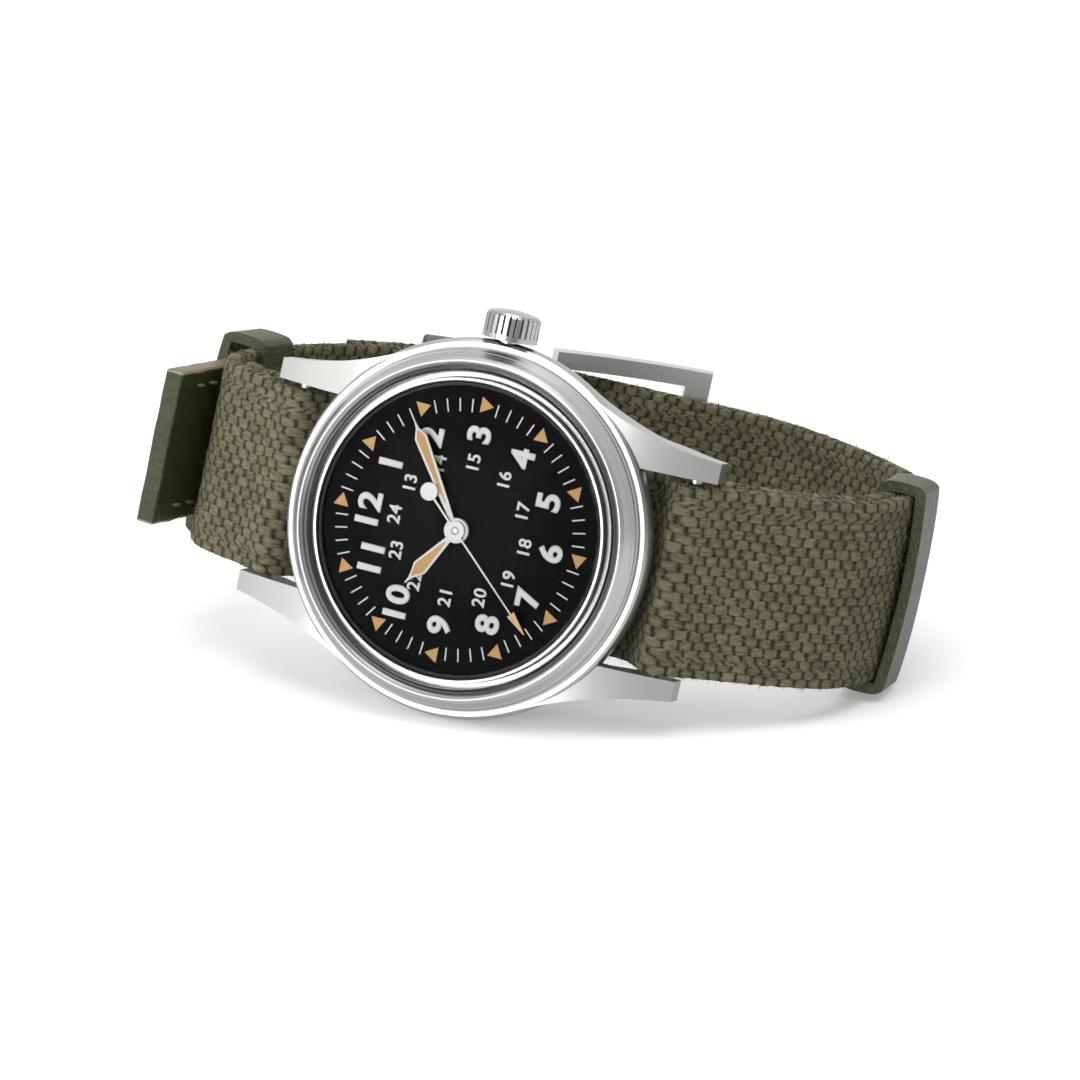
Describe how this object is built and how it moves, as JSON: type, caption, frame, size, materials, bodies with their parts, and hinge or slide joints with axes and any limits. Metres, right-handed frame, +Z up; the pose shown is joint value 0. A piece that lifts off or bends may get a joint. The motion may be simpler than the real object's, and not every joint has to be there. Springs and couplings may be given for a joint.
{
  "type": "field watch",
  "caption": "Hand-wound field watch with a black dial, turning hands and crown, and a movement of meshed wheels, buckled on an olive canvas pass-through strap.",
  "frame": {"origin": "bottom centre of the watch's bounding box, as it lies on its flank at 9 o'clock", "axes": "+X towards 6 o'clock, -Y the way the dial faces, +Z up, out of the crown's side"},
  "size_m": [0.0782, 0.0556, 0.0403],
  "materials": {
    "satin_steel": "satin, bead-blasted",
    "dial_black": "matte",
    "flange_black": "matte",
    "hand_white": "matte",
    "tan_lume": "matte",
    "crystal": "polished",
    "seal_rubber": "matte",
    "holder_plastic": "matte",
    "nickel_plate": "satin nickel",
    "gilt_wheel": "gilt",
    "bright_steel": "polished",
    "olive_canvas": "coarse weave",
    "green_leather": "matte"
  },
  "bodies": {
    "watch": {"mid_case": "satin_steel", "bezel": "satin_steel", "crystal": "crystal", "crystal_gasket": "seal_rubber", "flange_ring": "flange_black", "dial": "dial_black", "main_plate": "nickel_plate", "barrel_bridge": "nickel_plate", "train_bridge": "nickel_plate", "balance_cock": "nickel_plate", "pallet_cock": "nickel_plate", "bridge_screws": "bright_steel", "wheel_screws": "bright_steel", "hairspring": "bright_steel", "movement_holder": "holder_plastic", "case_back": "satin_steel", "back_gasket": "seal_rubber", "case_tube": "satin_steel", "spring_bar_12": "satin_steel", "spring_bar_6": "satin_steel", "main_strap": "olive_canvas", "tail_tip": "green_leather", "second_strip": "olive_canvas", "keeper_6": "green_leather", "keeper_middle": "green_leather", "keeper_end": "green_leather", "buckle_bar": "satin_steel"},
    "crown_seal": {"crown_gasket": "seal_rubber"},
    "crown": {"crown": "satin_steel", "stem": "bright_steel"},
    "sliding_pinion": {"sliding_pinion": "bright_steel"},
    "winding_pinion": {"winding_pinion": "bright_steel"},
    "crown_wheel": {"crown_wheel": "bright_steel"},
    "ratchet": {"ratchet_wheel": "bright_steel", "ratchet_screw": "bright_steel", "barrel_arbor": "bright_steel"},
    "click": {"click": "bright_steel"},
    "minute": {"minute_hand": "hand_white", "minute_hand_lume": "tan_lume", "cannon_pinion": "bright_steel"},
    "hour": {"hour_hand": "hand_white", "hour_hand_lume": "tan_lume", "hour_wheel": "gilt_wheel"},
    "minute_wheel": {"minute_wheel": "gilt_wheel"},
    "seconds": {"seconds_hand": "hand_white", "fourth_wheel": "gilt_wheel"},
    "third_wheel": {"third_wheel": "gilt_wheel"},
    "centre_wheel": {"centre_wheel": "gilt_wheel"},
    "barrel": {"barrel": "gilt_wheel", "mainspring": "bright_steel"},
    "escape_wheel": {"escape_wheel": "bright_steel"},
    "pallet_fork": {"pallet_fork": "bright_steel"},
    "balance": {"balance": "gilt_wheel"},
    "buckle": {"buckle_frame": "satin_steel"},
    "tongue": {"buckle_tongue": "satin_steel"}
  },
  "joints": [
    {"name": "crown_pull", "type": "slide", "parent": "watch", "child": "crown_seal", "axis": [0.1065, 0.2475, 0.963], "range_m": [0, 0.0009]},
    {"name": "crown_turn", "type": "hinge", "parent": "crown_seal", "child": "crown", "pos_m": [-0.00203, -0.01995, 0.01852], "axis": [0.1065, 0.2475, 0.963], "continuous": true},
    {"name": "sliding_pinion_turn", "type": "hinge", "parent": "watch", "child": "sliding_pinion", "pos_m": [-0.00203, -0.01995, 0.01852], "axis": [0.1065, 0.2475, 0.963], "continuous": true},
    {"name": "winding_pinion_turn", "type": "hinge", "parent": "watch", "child": "winding_pinion", "pos_m": [-0.00203, -0.01995, 0.01852], "axis": [0.1065, 0.2475, 0.963], "continuous": true},
    {"name": "crown_wheel_turn", "type": "hinge", "parent": "watch", "child": "crown_wheel", "pos_m": [-0.00375, -0.01741, 0.02668], "axis": [-0.0272, 0.9689, -0.246], "continuous": true},
    {"name": "ratchet_turn", "type": "hinge", "parent": "watch", "child": "ratchet", "pos_m": [-0.00681, -0.01874, 0.0218], "axis": [-0.0272, 0.9689, -0.246], "continuous": true},
    {"name": "click_swing", "type": "hinge", "parent": "watch", "child": "click", "pos_m": [-0.01106, -0.01955, 0.01906], "axis": [-0.0272, 0.9689, -0.246], "range_deg": [0, 8]},
    {"name": "minute_turn", "type": "hinge", "parent": "watch", "child": "minute", "pos_m": [-0.00195, -0.02286, 0.01926], "axis": [-0.0272, 0.9689, -0.246], "continuous": true},
    {"name": "hour_turn", "type": "hinge", "parent": "watch", "child": "hour", "pos_m": [-0.00195, -0.02286, 0.01926], "axis": [-0.0272, 0.9689, -0.246], "continuous": true},
    {"name": "minute_wheel_turn", "type": "hinge", "parent": "watch", "child": "minute_wheel", "pos_m": [0.00029, -0.01969, 0.01728], "axis": [-0.0272, 0.9689, -0.246], "continuous": true},
    {"name": "seconds_turn", "type": "hinge", "parent": "watch", "child": "seconds", "pos_m": [-0.00195, -0.02286, 0.01926], "axis": [-0.0272, 0.9689, -0.246], "continuous": true},
    {"name": "third_wheel_turn", "type": "hinge", "parent": "watch", "child": "third_wheel", "pos_m": [-0.00106, -0.02042, 0.01454], "axis": [-0.0272, 0.9689, -0.246], "continuous": true},
    {"name": "centre_wheel_turn", "type": "hinge", "parent": "watch", "child": "centre_wheel", "pos_m": [-0.00195, -0.02286, 0.01926], "axis": [-0.0272, 0.9689, -0.246], "continuous": true},
    {"name": "barrel_turn", "type": "hinge", "parent": "watch", "child": "barrel", "pos_m": [-0.00681, -0.01874, 0.0218], "axis": [-0.0272, 0.9689, -0.246], "continuous": true},
    {"name": "escape_wheel_turn", "type": "hinge", "parent": "watch", "child": "escape_wheel", "pos_m": [0.00135, -0.01917, 0.01919], "axis": [-0.0272, 0.9689, -0.246], "continuous": true},
    {"name": "pallet_swing", "type": "hinge", "parent": "watch", "child": "pallet_fork", "pos_m": [0.00313, -0.01875, 0.02066], "axis": [-0.0272, 0.9689, -0.246], "range_deg": [-4, 4]},
    {"name": "balance_swing", "type": "hinge", "parent": "watch", "child": "balance", "pos_m": [0.00567, -0.0184, 0.02174], "axis": [-0.0272, 0.9689, -0.246], "range_deg": [-270, 270], "stiffness_Nm_per_rad": 0.000000088},
    {"name": "buckle_tilt", "type": "hinge", "parent": "watch", "child": "buckle", "pos_m": [-0.00758, 0.01703, 0.01382], "axis": [0.1065, 0.2475, 0.963], "range_deg": [0, 3]},
    {"name": "tongue_lift", "type": "hinge", "parent": "buckle", "child": "tongue", "pos_m": [-0.00758, 0.01703, 0.01382], "axis": [0.1065, 0.2475, 0.963], "range_deg": [0, 2]}
  ],
  "couplings": [
    {"joint": "sliding_pinion_turn", "follows": "crown_turn", "ratio": 1},
    {"joint": "winding_pinion_turn", "follows": "crown_turn", "ratio": 1},
    {"joint": "crown_wheel_turn", "follows": "crown_turn", "ratio": 0.5},
    {"joint": "ratchet_turn", "follows": "crown_turn", "ratio": -0.27273},
    {"joint": "hour_turn", "follows": "minute_turn", "ratio": 0.083333},
    {"joint": "minute_wheel_turn", "follows": "minute_turn", "ratio": -0.33333},
    {"joint": "third_wheel_turn", "follows": "seconds_turn", "ratio": -0.13333},
    {"joint": "centre_wheel_turn", "follows": "seconds_turn", "ratio": 0.016667},
    {"joint": "barrel_turn", "follows": "seconds_turn", "ratio": -0.0020833},
    {"joint": "escape_wheel_turn", "follows": "seconds_turn", "ratio": -10}
  ]
}
